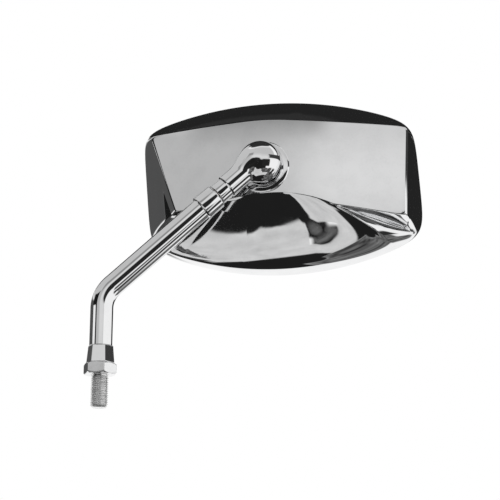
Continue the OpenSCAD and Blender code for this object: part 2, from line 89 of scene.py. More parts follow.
class Graph:
    """A writer of node trees for shaders, worlds and Geometry Nodes."""

    def __init__(self, tree: bpy.types.NodeTree) -> None:
        """Start on a tree."""
        self.tree = tree

    def fill(self, node: bpy.types.Node, values: dict) -> bpy.types.Node:
        """Feed a node's inputs.

        Args:
            node: The node.
            values: Sockets to link or plain values to set, by the input's name or number.

        Returns:
            The node.
        """
        for key, value in values.items():
            if isinstance(value, bpy.types.NodeSocket):
                self.tree.links.new(value, node.inputs[key])
            else:
                node.inputs[key].default_value = value
        return node

    def node(self, kind: str, values: Union[dict, None] = None, **settings: object) -> bpy.types.Node:
        """Add a node.

        Args:
            kind: The node's type name.
            values: What feeds its inputs.
            settings: Properties to set on it first.

        Returns:
            The new node.
        """
        made = self.tree.nodes.new(kind)
        for name, value in settings.items():
            setattr(made, name, value)
        return self.fill(made, values or {})

    def math(self, operation: str, *values: Value) -> Socket:
        """Add a Math node and return its output."""
        return self.node("ShaderNodeMath", dict(enumerate(values)), operation=operation).outputs[0]

    def add(self, a: Value, b: Value) -> Socket:
        """Return a + b."""
        return self.math("ADD", a, b)

    def sub(self, a: Value, b: Value) -> Socket:
        """Return a - b."""
        return self.math("SUBTRACT", a, b)

    def mul(self, a: Value, b: Value) -> Socket:
        """Return a times b."""
        return self.math("MULTIPLY", a, b)

    def ramp(self, *values: Value) -> Socket:
        """Carry a value smoothly from one range to another.

        Args:
            values: The value, where its change starts and ends, and the results there, which are
                0 and 1 where they aren't given.

        Returns:
            The result.
        """
        made = self.node("ShaderNodeMapRange", dict(enumerate(values)), interpolation_type="SMOOTHSTEP")
        return made.outputs[0]

    def mix(self, share: Value, a: object, b: object, blend: str = "MIX") -> Socket:
        """Mix two colours by a share of the second."""
        values = {"Factor": share, 6: a, 7: b}
        return self.node("ShaderNodeMix", values, data_type="RGBA", blend_type=blend).outputs[2]

    def xyz(self, x: Value, y: Value, z: Value) -> Socket:
        """Make a vector of three values."""
        return self.node("ShaderNodeCombineXYZ", {0: x, 1: y, 2: z}).outputs[0]

    def split(self, vector: Socket) -> Sequence[Socket]:
        """Return a vector's three values."""
        return self.node("ShaderNodeSeparateXYZ", {0: vector}).outputs

    def place(self) -> Socket:
        """Return the object's own coordinates."""
        return self.node("ShaderNodeTexCoord").outputs["Object"]

    def noise(self, place: Socket, scale: Value, detail: float) -> Socket:
        """Return a noise that is read at a place."""
        values = {"Vector": place, "Scale": scale, "Detail": detail}
        return self.node("ShaderNodeTexNoise", values).outputs["Fac"]

    def bump(self, distance: Value, height: Socket) -> Socket:
        """Return the normal of a relief."""
        values = {"Strength": 1.0, "Distance": distance, "Height": height}
        return self.node("ShaderNodeBump", values).outputs[0]


def grey(level: float) -> Colour:
    """Return a neutral colour."""
    return (level, level, level, 1.0)


class Effects:
    """Shader node groups that several finishes share."""

    kinds = {"Tint": "NodeSocketColor", "Normal": "NodeSocketVector"}

    def __init__(self) -> None:
        """Build each group once."""
        self.polish = self._polish()
        self.grain = self._grain()
        self.turning = self._turning()

    def _group(
        self, name: str, inputs: Sequence[str], outputs: Sequence[str]
    ) -> tuple[Graph, Sequence[Socket], bpy.types.Node]:
        """Start a shader group.

        Args:
            name: The group's name.
            inputs: Names of its number inputs.
            outputs: Names of its outputs.

        Returns:
            The graph, what the group is given, and its output node.
        """
        tree = bpy.data.node_groups.new(name, "ShaderNodeTree")
        for label in inputs:
            tree.interface.new_socket(label, in_out="INPUT", socket_type="NodeSocketFloat")
        for label in outputs:
            kind = self.kinds.get(label, "NodeSocketFloat")
            tree.interface.new_socket(label, in_out="OUTPUT", socket_type=kind)
        graph = Graph(tree)
        return graph, graph.node("NodeGroupInput").outputs, graph.node("NodeGroupOutput")

    def _polish(self) -> bpy.types.NodeTree:
        """Build the buffed metal's slow waves, faint haze and fine wipe marks.

        Returns:
            The group.
        """
        names = ["Wave Scale", "Wave Depth", "Haze", "Gloss"]
        graph, given, out = self._group("BuffedMetal", names, ["Roughness", "Tint", "Normal"])
        place = graph.place()
        waves = graph.noise(place, given["Wave Scale"], 1.0)
        haze = graph.noise(place, 90.0, 4.0)
        marks = graph.noise(place, 700.0, 2.0)
        cloud = graph.ramp(graph.add(graph.mul(haze, 0.75), graph.mul(marks, 0.25)), 0.38, 0.68)
        rough = graph.add(given["Gloss"], graph.mul(cloud, given["Haze"]))
        tint = graph.mix(cloud, (0.86, 0.862, 0.866, 1.0), (0.815, 0.818, 0.822, 1.0))
        normal = graph.bump(given["Wave Depth"], waves)
        graph.fill(out, {"Roughness": rough, "Tint": tint, "Normal": normal})
        return graph.tree

    def _grain(self) -> bpy.types.NodeTree:
        """Build a fine, even grain for moulded, cast and foamed surfaces.

        Returns:
            The group.
        """
        names = ["Scale", "Depth", "Contrast"]
        graph, given, out = self._group("FineGrain", names, ["Mask", "Shade", "Normal"])
        place = graph.place()
        fine = graph.noise(place, given["Scale"], 3.0)
        broad = graph.noise(place, 60.0, 2.0)
        shade = graph.mul(graph.sub(graph.add(fine, broad), 1.0), given["Contrast"])
        normal = graph.bump(given["Depth"], fine)
        graph.fill(out, {"Mask": fine, "Shade": graph.add(1.0, shade), "Normal": normal})
        return graph.tree

    def _turning(self) -> bpy.types.NodeTree:
        """Build the fine rings that a lathe leaves along the stud's axis.

        Returns:
            The group.
        """
        graph, given, out = self._group("TurnedMetal", ["Lines", "Depth"], ["Mask", "Normal"])
        x, y, z = graph.split(graph.place())
        stretched = graph.xyz(graph.mul(x, 40.0), graph.mul(y, 40.0), graph.mul(z, given["Lines"]))
        lines = graph.noise(stretched, 1.0, 2.0)
        graph.fill(out, {"Mask": lines, "Normal": graph.bump(given["Depth"], lines)})
        return graph.tree


def new_material(name: str) -> tuple[bpy.types.Material, Graph, bpy.types.Node]:
    """Start a material with a Principled shader.

    Args:
        name: The material's name.

    Returns:
        The material, its graph and its shader.
    """
    material = bpy.data.materials.new(name)
    material.use_nodes = True
    shader = next(n for n in material.node_tree.nodes if n.type == "BSDF_PRINCIPLED")
    return material, Graph(material.node_tree), shader


def finished(
    name: str, effect: bpy.types.NodeTree, values: dict[str, float], metallic: float
) -> tuple[bpy.types.Material, Graph, bpy.types.Node, Sequence[Socket]]:
    """Start a material that has its normal from a shared effect.

    Args:
        name: The material's name.
        effect: The shared group.
        values: The group's inputs.
        metallic: How far the material is a metal.

    Returns:
        The material, its graph, its shader and the group's outputs.
    """
    material, graph, shader = new_material(name)
    look = graph.node("ShaderNodeGroup", values, node_tree=effect).outputs
    graph.fill(shader, {"Metallic": metallic, "Normal": look["Normal"]})
    return material, graph, shader, look


@dataclass(frozen=True)
class Chrome:
    """Buffed chrome plate, or silvered glass."""

    name: str
    wave_scale: float
    wave_depth: float
    haze: float
    gloss: float

    def build(self, effects: Effects) -> bpy.types.Material:
        """Make the material from the shared polish.

        Args:
            effects: The shared groups.

        Returns:
            The material.
        """
        values = {"Wave Scale": self.wave_scale, "Wave Depth": self.wave_depth}
        values |= {"Haze": self.haze, "Gloss": self.gloss}
        material, graph, shader, look = finished(self.name, effects.polish, values, 1.0)
        graph.fill(shader, {"Base Color": look["Tint"], "Roughness": look["Roughness"]})
        return material


@dataclass(frozen=True)
class TurnedSteel:
    """Turned or rolled metal, plated or bare."""

    name: str
    colour: Colour
    dark: Colour
    gloss: float
    metallic: float = 1.0
    lines: float = 4000.0
    depth: float = 0.00001

    def build(self, effects: Effects) -> bpy.types.Material:
        """Make the material from the shared lathe rings.

        Args:
            effects: The shared groups.

        Returns:
            The material.
        """
        values = {"Lines": self.lines, "Depth": self.depth}
        material, graph, shader, look = finished(self.name, effects.turning, values, self.metallic)
        colour = graph.mix(graph.ramp(look["Mask"], 0.35, 0.65), self.dark, self.colour)
        rough = graph.ramp(look["Mask"], 0.3, 0.7, self.gloss + 0.1, self.gloss)
        graph.fill(shader, {"Base Color": colour, "Roughness": rough})
        return material


@dataclass(frozen=True)
class Moulded:
    """Moulded plastic, rubber, foam or cast metal with a fine grain."""

    name: str
    colour: Colour
    gloss: float
    metallic: float = 0.0
    scale: float = 900.0
    depth: float = 0.00005
    contrast: float = 0.15

    def build(self, effects: Effects) -> bpy.types.Material:
        """Make the material from the shared grain.

        Args:
            effects: The shared groups.

        Returns:
            The material.
        """
        values = {"Scale": self.scale, "Depth": self.depth, "Contrast": self.contrast}
        material, graph, shader, look = finished(self.name, effects.grain, values, self.metallic)
        tint = graph.mix(1.0, self.colour, look["Shade"], "MULTIPLY")
        rough = graph.ramp(look["Mask"], 0.3, 0.7, self.gloss, self.gloss + 0.08)
        graph.fill(shader, {"Base Color": tint, "Roughness": rough})
        return material


class Finishes:
    """Every material of the mirror, by its use."""

    def __init__(self) -> None:
        """Build the shared effects and the materials."""
        fx = Effects()
        self.shell = Chrome("chrome_shell", 16.0, 0.00006, 0.03, 0.03).build(fx)
        self.elbow = Chrome("chrome_cast", 60.0, 0.00001, 0.02, 0.03).build(fx)
        self.tube = Chrome("chrome_tube", 25.0, 0.000006, 0.015, 0.03).build(fx)
        self.ball = Chrome("chrome_ball", 40.0, 0.00001, 0.015, 0.03).build(fx)
        self.nut = Chrome("chrome_nut", 110.0, 0.00002, 0.05, 0.08).build(fx)
        self.glass = Chrome("silvered_glass", 8.0, 0.000004, 0.012, 0.01).build(fx)
        self.stud = TurnedSteel("steel_thread", grey(0.88), grey(0.60), 0.18, 0.88, 2600.0).build(fx)
        zinc = (0.62, 0.63, 0.66, 1.0), (0.46, 0.47, 0.50, 1.0)
        self.zinc = TurnedSteel("steel_zinc", *zinc, 0.26).build(fx)
        spring = (0.16, 0.17, 0.19, 1.0), (0.08, 0.085, 0.10, 1.0)
        self.spring = TurnedSteel("steel_spring", *spring, 0.30).build(fx)
        bronze = (0.62, 0.40, 0.20, 1.0), (0.44, 0.27, 0.13, 1.0)
        self.bronze = TurnedSteel("bronze_bush", *bronze, 0.32).build(fx)
        self.nylon = Moulded("nylon_seat", (0.78, 0.77, 0.73, 1.0), 0.36, scale=500.0).build(fx)
        cast = (0.34, 0.35, 0.36, 1.0)
        self.cast = Moulded("cast_housing", cast, 0.42, 0.85, 700.0, 0.00012).build(fx)
        backing = (0.022, 0.022, 0.024, 1.0)
        self.plastic = Moulded("plastic_backing", backing, 0.45, 0.0, 1100.0, 0.00004).build(fx)
        foam = (0.045, 0.045, 0.048, 1.0)
        self.foam = Moulded("foam_pad", foam, 0.9, 0.0, 1500.0, 0.0003, 0.5).build(fx)
        rubber = (0.018, 0.018, 0.019, 1.0)
        self.rubber = Moulded("rubber_gasket", rubber, 0.55, 0.0, 1300.0, 0.00003).build(fx)


def turn(axis: str, degrees: float) -> np.ndarray:
    """Return a rotation about an axis as a 4 by 4 array."""
    return np.array(Matrix.Rotation(math.radians(degrees), 4, axis))


def shift(x: float, y: float, z: float) -> np.ndarray:
    """Return a translation as a 4 by 4 array."""
    return np.array(Matrix.Translation((x, y, z)))


def placed(points: np.ndarray, place: np.ndarray) -> np.ndarray:
    """Carry points by a 4 by 4 array."""
    return points @ place[:3, :3].T + place[:3, 3]


def smoothstep(x: np.ndarray) -> np.ndarray:
    """Return 0 below 0, 1 above 1 and a smooth rise between them."""
    t = np.clip(x, 0.0, 1.0)
    return t * t * (3 - 2 * t)


def curve(start: np.ndarray, bend: np.ndarray, end: np.ndarray, t: float) -> np.ndarray:
    """Return the point at a share t of the curve that leaves and arrives in line with its bend."""
    return (1 - t) ** 2 * start + 2 * t * (1 - t) * bend + t * t * end


def spread(around: int) -> np.ndarray:
    """Return evenly spread angles round a circle."""
    return np.arange(around) * FULL_TURN / around


def ring_at(height: float, radius: Union[float, np.ndarray], around: int) -> np.ndarray:
    """Return a ring of points round Z at a height; its radius may change round it."""
    angles = spread(around)
    return np.stack([radius * np.cos(angles), radius * np.sin(angles), np.full(around, height)], axis=1)


def turned(profile: Profile, around: int = 128) -> Rings:
    """Turn a profile of radii and heights about Z."""
    return [ring_at(height, radius, around) for radius, height in profile]


def rounded(corners: Profile, reach: Sequence[float]) -> list[tuple[float, float]]:
    """Round the corners of a profile.

    Args:
        corners: The profile's corners.
        reach: How far each corner's rounding reaches along its sides; 0 keeps it sharp.

    Returns:
        The rounded profile.
    """
    made = []
    for i, corner in enumerate(corners):
        here = np.array(corner, float)
        if reach[i] <= 0 or i in (0, len(corners) - 1):
            made.append(tuple(here))
            continue
        sides = [np.array(corners[k], float) - here for k in (i - 1, i + 1)]
        a, b = (here + side * min(reach[i] / np.linalg.norm(side), 0.48) for side in sides)
        made += [tuple(curve(a, here, b, t)) for t in np.linspace(0, 1, 5)]
    return made


def linked(name: str, data: bpy.types.ID) -> bpy.types.Object:
    """Make an object and link it to the scene."""
    made = bpy.data.objects.new(name, data)
    bpy.context.scene.collection.objects.link(made)
    return made


def closed(mesh: bpy.types.Mesh, dissolve: bool = False) -> bpy.types.Mesh:
    """Merge a closed mesh's doubled points and turn its faces outwards.

    Args:
        mesh: The mesh, in metres.
        dissolve: Whether faces without an area go as well.

    Returns:
        The same mesh.
    """
    work = bmesh.new()
    work.from_mesh(mesh)
    bmesh.ops.remove_doubles(work, verts=work.verts, dist=1e-6)
    if dissolve:
        bmesh.ops.dissolve_degenerate(work, edges=work.edges, dist=1e-7)
    if work.calc_volume(signed=True) < 0:
        bmesh.ops.reverse_faces(work, faces=work.faces)
    work.to_mesh(mesh)
    work.free()
    return mesh


@dataclass
class Piece:
    """Builder of one mesh object."""

    name: str
    body: Body
    slot: Slot
    replaces: tuple[str, ...] = ()

    def from_mesh(self, mesh: bpy.types.Mesh, material: bpy.types.Material, sharp: float = 40.0) -> None:
        """Place a finished mesh on its body.

        Args:
            mesh: The mesh, in metres, in the model's frame.
            material: What the piece is made of.
            sharp: Edges that turn by more degrees than this stay sharp.
        """
        mesh.name = self.name
        mesh.materials.clear()
        mesh.materials.append(material)
        mesh.shade_smooth()
        mesh.set_sharp_from_angle(angle=math.radians(sharp))
        made = linked(self.name, mesh)
        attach(made, self.body.value)
        if self.replaces:
            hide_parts(*self.replaces)
        LOG.info("%s: %d faces", self.name, len(mesh.polygons))

    def from_rings(
        self,
        rings: Rings,
        material: bpy.types.Material,
        place: Union[np.ndarray, None] = None,
        loop: bool = False,
        sharp: float = 40.0,
    ) -> None:
        """Join closed rings of points in millimetres into a closed mesh.

        Args:
            rings: Rings of the same number of points; a ring of one place makes a pole.
            material: What the piece is made of.
            place: Where the rings' own frame is; none is the model's frame.
            loop: Whether the last ring joins the first.
            sharp: Edges that turn by more degrees than this stay sharp.
        """
        count = len(rings[0])
        points = placed(np.concatenate(rings), np.eye(4) if place is None else place) * MM
        index = np.arange(count)
        after = (index + 1) % count
        quads = []
        for j in range(len(rings) if loop else len(rings) - 1):
            a = j * count
            b = ((j + 1) % len(rings)) * count
            quads.append(np.stack([a + index, a + after, b + after, b + index], axis=1))
        mesh = bpy.data.meshes.new(self.name)
        mesh.from_pydata(points.tolist(), [], np.concatenate(quads).tolist())
        self.from_mesh(closed(mesh, dissolve=True), material, sharp)


@dataclass
class Places:
    """Where things are along the stud, the arm and the ball's axis, in millimetres."""

    stem_rise: float = 48.2
    arm_angle: float = 42.6
    arm_length: float = 123.3
    eye_offset: float = 1.4
    eye_yaw: float = -12.1
    eye_mid: float = 15.5
    head_roll: float = 4.8

    def along_arm(self, distance: float) -> np.ndarray:
        """Return the place on the arm's axis at a distance from the bend's corner."""
        return shift(0, 0, self.stem_rise) @ turn("Y", 90 - self.arm_angle) @ shift(0, 0, distance)

    def at_eye(self) -> np.ndarray:
        """Return the place in the middle of the elbow's eye."""
        along = self.along_arm(self.arm_length) @ shift(self.eye_offset, 0, 0)
        return along @ turn("Y", self.arm_angle - 90) @ turn("Z", self.eye_yaw) @ turn("X", 90)

    def at_ball(self) -> np.ndarray:
        """Return the place in the ball's centre, on the elbow's side."""
        return self.at_eye() @ shift(0, 0, -self.eye_mid)

    def in_head(self) -> np.ndarray:
        """Return the place in the ball's centre, on the head's side."""
        return self.at_ball() @ turn("Z", self.head_roll)


class Sweep:
    """A Geometry Nodes tree that bends a grid into a round piece."""

    def __init__(self, name: str, lengths: Sequence[str]) -> None:
        """Start the tree with its inputs, its grid, and each point's turn and share of the length.

        Args:
            name: The tree's name.
            lengths: Names of its number inputs.
        """
        tree = bpy.data.node_groups.new(name, "GeometryNodeTree")
        tree.interface.new_socket("Geometry", in_out="OUTPUT", socket_type="NodeSocketGeometry")
        kinds = dict.fromkeys(lengths, "NodeSocketFloat")
        kinds |= {"Around": "NodeSocketInt", "Along": "NodeSocketInt", "Material": "NodeSocketMaterial"}
        for label, kind in kinds.items():
            tree.interface.new_socket(label, in_out="INPUT", socket_type=kind)
        self.graph = Graph(tree)
        self.size = self.graph.node("NodeGroupInput").outputs
        counts = {"Vertices X": self.size["Around"], "Vertices Y": self.size["Along"]}
        self.grid = self.graph.node("GeometryNodeMeshGrid", {"Size X": 1.0, "Size Y": 1.0} | counts)
        x, y, _ = self.graph.split(self.graph.node("GeometryNodeInputPosition").outputs[0])
        self.angle = self.graph.mul(self.graph.add(x, 0.5), FULL_TURN)
        self.share = self.graph.add(y, 0.5)

    def mesh(self, place: Socket, values: dict[str, object]) -> bpy.types.Mesh:
        """Bend the grid to its place, close its seams, and keep the result as a plain mesh.

        Args:
            place: The new position of each point.
            values: The tree's inputs by name; lengths in metres.

        Returns:
            The mesh.
        """
        add = self.graph.node
        bend = add("GeometryNodeSetPosition", {"Geometry": self.grid.outputs["Mesh"], "Position": place})
        merge = add("GeometryNodeMergeByDistance", {"Geometry": bend.outputs[0], "Distance": 0.000002})
        solid = add("GeometryNodeRealizeInstances", {"Geometry": merge.outputs[0]})
        look = {"Geometry": solid.outputs[0], "Material": self.size["Material"]}
        add("NodeGroupOutput", {0: add("GeometryNodeSetMaterial", look).outputs[0]})
        carrier = linked("carrier", bpy.data.meshes.new("carrier"))
        modifier = carrier.modifiers.new("rule", "NODES")
        modifier.node_group = self.graph.tree
        for item in self.graph.tree.interface.items_tree:
            if item.item_type == "SOCKET" and item.in_out == "INPUT":
                modifier[item.identifier] = values[item.name]
        graph = bpy.context.evaluated_depsgraph_get()
        mesh = bpy.data.meshes.new_from_object(carrier.evaluated_get(graph))
        bpy.data.objects.remove(carrier)
        return closed(mesh)


def bent_tube(values: dict[str, object]) -> bpy.types.Mesh:
    """Make a tube with one bend: a straight foot, an arc and a straight arm, out and back inside.

    Args:
        values: The tree's inputs by name; lengths in metres.

    Returns:
        The mesh.
    """
    sweep = Sweep("BentTube", ["Radius", "Wall", "Start", "Foot", "Bend Radius", "Bend Angle", "Arm"])
    graph, size, share = sweep.graph, sweep.size, sweep.share
    there = graph.math("MINIMUM", graph.mul(share, 2.0), 1.0)
    back = graph.math("MAXIMUM", graph.sub(graph.mul(share, 2.0), 1.0), 0.0)
    arc = graph.mul(size["Bend Radius"], size["Bend Angle"])
    before_arm = graph.add(size["Foot"], arc)
    run = graph.mul(graph.add(before_arm, size["Arm"]), graph.sub(there, back))
    foot = graph.math("MINIMUM", run, size["Foot"])
    on_arc = graph.math("MAXIMUM", graph.math("MINIMUM", graph.sub(run, size["Foot"]), arc), 0.0)
    bent_by = graph.math("DIVIDE", on_arc, size["Bend Radius"])
    arm = graph.math("MAXIMUM", graph.sub(run, before_arm), 0.0)
    inside = graph.mul(graph.math("GREATER_THAN", back, 0.0), graph.math("LESS_THAN", share, 0.9999))
    radius = graph.sub(size["Radius"], graph.mul(inside, size["Wall"]))
    sine = graph.math("SINE", bent_by)
    cosine = graph.math("COSINE", bent_by)
    side = graph.mul(radius, graph.math("COSINE", sweep.angle))
    out = graph.mul(size["Bend Radius"], graph.sub(1.0, cosine))
    x = graph.add(out, graph.add(graph.mul(arm, sine), graph.mul(side, cosine)))
    y = graph.mul(radius, graph.math("SINE", sweep.angle))
    rise = graph.add(graph.add(size["Start"], foot), graph.mul(size["Bend Radius"], sine))
    z = graph.add(rise, graph.sub(graph.mul(arm, cosine), graph.mul(side, sine)))
    return sweep.mesh(graph.xyz(x, y, z), values)


def screw_thread(values: dict[str, object]) -> bpy.types.Mesh:
    """Make a threaded rod whose thread runs out at its chamfered tip and at its upper end.

    Args:
        values: The tree's inputs by name; lengths in metres.

    Returns:
        The mesh.
    """
    sweep = Sweep("ScrewThread", ["Radius", "Depth", "Pitch", "Bottom", "Length", "Chamfer"])
    graph, size, share = sweep.graph, sweep.size, sweep.share
    height = graph.mul(share, size["Length"])
    turns = graph.math("DIVIDE", height, size["Pitch"])
    phase = graph.math("FRACT", graph.sub(turns, graph.math("DIVIDE", sweep.angle, FULL_TURN)))
    tooth = graph.math("ABSOLUTE", graph.sub(graph.mul(phase, 2.0), 1.0))
    crest = graph.sub(size["Radius"], graph.mul(graph.ramp(tooth, 0.12, 0.88), size["Depth"]))
    tip = graph.add(graph.sub(size["Radius"], size["Chamfer"]), height)
    root = graph.sub(size["Radius"], size["Depth"])
    collar = graph.add(root, graph.mul(graph.sub(size["Length"], height), 1.2))
    radius = graph.math("MINIMUM", graph.math("MINIMUM", crest, tip), collar)
    ends = graph.mul(graph.math("GREATER_THAN", share, 0.0005), graph.math("LESS_THAN", share, 0.9995))
    radius = graph.mul(radius, ends)
    x = graph.mul(radius, graph.math("COSINE", sweep.angle))
    y = graph.mul(radius, graph.math("SINE", sweep.angle))
    return sweep.mesh(graph.xyz(x, y, graph.add(size["Bottom"], height)), values)


@dataclass
class Foot:
    """The threaded stud, its lock nut and the tapered hexagonal sleeve."""

    around: int = 240
    stud_r: float = 5.0
    stud_reach: float = 18.0
    stud_chamfer: float = 1.2
    thread_pitch: float = 1.25
    thread_depth: float = 0.72
    groove_w: float = 1.0
    groove_depth: float = 0.8
    nut_flats: float = 17.0
    nut_h: float = 6.4
    nut_sink: float = 0.5
    nut_sink_h: float = 0.6
    nut_end: float = 1.4
    nut_power: float = 60.0
    nut_room: float = 0.02
    sleeve_h: float = 10.4
    sleeve_low: float = 14.3
    sleeve_high: float = 12.6
    sleeve_edge: float = 0.3
    nut_turn: float = 20.5
    sleeve_turn: float = 26.3

    @property
    def sleeve_bottom(self) -> float:
        """Height of the sleeve's lower end."""
        return self.groove_w + self.nut_h

    @property
    def sleeve_top(self) -> float:
        """Height of the sleeve's upper end."""
        return self.sleeve_bottom + self.sleeve_h

    def hexagon(self, flats: float, facing: float, corner: float) -> np.ndarray:
        """Return the radius of a hexagon with slightly rounded corners, at angles round it.

        Args:
            flats: Width across the flats.
            facing: Bearing of one flat, in degrees from X.
            corner: Power of the rounding; a high one gives tight corners.

        Returns:
            The radii.
        """
        angles = spread(self.around) - math.radians(facing)
        sides = np.stack([np.maximum(np.cos(angles - k * math.pi / 3), 1e-3) for k in range(6)])
        return flats / 2 * (sides**corner).sum(axis=0) ** (-1 / corner)

    def build(self, finishes: Finishes) -> None:
        """Make the three pieces."""
        self.stud(finishes)
        self.nut(finishes)
        self.sleeve(finishes)

    def stud(self, finishes: Finishes) -> None:
        """Make the threaded rod and the plain part above it.

        Args:
            finishes: The materials.
        """
        lengths = {
            "Radius": self.stud_r,
            "Depth": self.thread_depth,
            "Pitch": self.thread_pitch,
            "Bottom": -self.stud_reach,
            "Length": self.stud_reach,
            "Chamfer": self.stud_chamfer,
        }
        values = {name: length * MM for name, length in lengths.items()}
        thread = screw_thread(values | {"Around": 97, "Along": 301, "Material": finishes.stud})
        Piece("stud_thread", Body.STEM, Slot.ZINC, ("threaded_stud",)).from_mesh(thread, finishes.stud, 60.0)
        groove_r = self.stud_r - self.groove_depth
        top = self.sleeve_top - 1
        corners = [(0.0, -0.4), (groove_r, -0.4), (groove_r, self.groove_w)]
        corners += [(self.stud_r, self.groove_w), (self.stud_r, top), (0.0, top)]
        rings = turned(rounded(corners, [0, 0.1, 0.15, 0.15, 0.2, 0]), 96)
        Piece("stud_shank", Body.STEM, Slot.ZINC, ("threaded_stud",)).from_rings(rings, finishes.stud)

    def nut(self, finishes: Finishes) -> None:
        """Make the lock nut, turned to a cone at both ends, with a countersunk bore.

        Args:
            finishes: The materials.
        """
        flat = self.hexagon(self.nut_flats, self.nut_turn, 90.0)
        turned_r = self.nut_flats / 2 - 0.1
        slope = math.tan(math.radians(30))
        bore = self.stud_r + 0.05
        stops = (0.0, self.nut_end, self.nut_h - self.nut_end, self.nut_h)
        counts = (15, 5, 15)
        heights = np.concatenate([np.linspace(a, b, n) for a, b, n in zip(stops, stops[1:], counts)])
        ends = turned([(bore, self.nut_sink_h), (bore + self.nut_sink, 0.0)], self.around)
        rings = list(ends)
        for h in np.unique(heights):
            cone = turned_r + min(h, self.nut_h - h) / slope + 0.02
            radius = (flat**-self.nut_power + cone**-self.nut_power) ** (-1 / self.nut_power)
            rings.append(ring_at(h, radius, self.around))
        rings += [end * [1, 1, -1] + [0, 0, self.nut_h] for end in reversed(ends)]
        rings = [r * [1, 1, 1 - self.nut_room / self.nut_h] for r in rings]
        piece = Piece("lock_nut_skin", Body.LOCK_NUT, Slot.CHROME, ("lock_nut",))
        piece.from_rings(rings, finishes.nut, shift(0, 0, self.groove_w), loop=True, sharp=28.0)

    def sleeve(self, finishes: Finishes) -> None:
        """Make the tapered sleeve with its edges broken.

        Args:
            finishes: The materials.
        """
        top = self.sleeve_h
        heights = [0.0, 0.12, 0.3, *np.linspace(0.6, top - 0.6, 8), top - 0.3, top - 0.12, top]
        rings = [ring_at(0.0, self.stud_r, self.around)]
        for h in heights:
            flats = self.sleeve_low + (self.sleeve_high - self.sleeve_low) * h / top
            inset = 0.18 * max(0.0, 1 - min(h, top - h) / self.sleeve_edge) ** 2
            rings.append(ring_at(h, self.hexagon(flats, self.sleeve_turn, 110.0) - inset, self.around))
        rings.append(ring_at(top, self.stud_r, self.around))
        piece = Piece("sleeve_skin", Body.STEM, Slot.CHROME, ("hex_sleeve",))
        piece.from_rings(rings, finishes.tube, shift(0, 0, self.sleeve_bottom), loop=True, sharp=28.0)


@dataclass
class Stem:
    """The bent tube and the collar on its end."""

    places: Places
    foot: Foot
    tube_r: float = 6.65
    tube_wall: float = 1.3
    bend_r: float = 18.0
    tube_end_back: float = 33.6
    collar_l: float = 12.4
    collar_r: float = 7.75
    chamfer: float = 0.8

    @property
    def tube_end(self) -> float:
        """Distance of the tube's end from the bend's corner."""
        return self.places.arm_length - self.tube_end_back

    def build(self, finishes: Finishes) -> None:
        """Make the tube and the collar.

        Args:
            finishes: The materials.
        """
        bend = math.radians(90 - self.places.arm_angle)
        reach = self.bend_r * math.tan(bend / 2)
        lengths = {
            "Radius": self.tube_r,
            "Wall": self.tube_wall,
            "Start": self.foot.sleeve_top,
            "Foot": self.places.stem_rise - reach - self.foot.sleeve_top,
            "Bend Radius": self.bend_r,
            "Arm": self.tube_end - reach,
        }
        values = {name: length * MM for name, length in lengths.items()}
        values |= {"Bend Angle": bend, "Around": 97, "Along": 401, "Material": finishes.tube}
        piece = Piece("stem_tube_skin", Body.STEM, Slot.CHROME, ("stem_tube",))
        piece.from_mesh(bent_tube(values), finishes.tube)
        edge = self.chamfer
        corners = [(self.tube_r, 0.0), (self.collar_r - edge, 0.0), (self.collar_r, edge)]
        corners += [(radius, self.collar_l - height) for radius, height in reversed(corners)]
        rings = turned(rounded(corners, [0, 0.25, 0.25, 0.25, 0.25, 0]))
        place = self.places.along_arm(self.tube_end - self.collar_l)
        piece = Piece("collar_skin", Body.STEM, Slot.CHROME, ("swivel_collar",))
        piece.from_rings(rings, finishes.tube, place, loop=True)


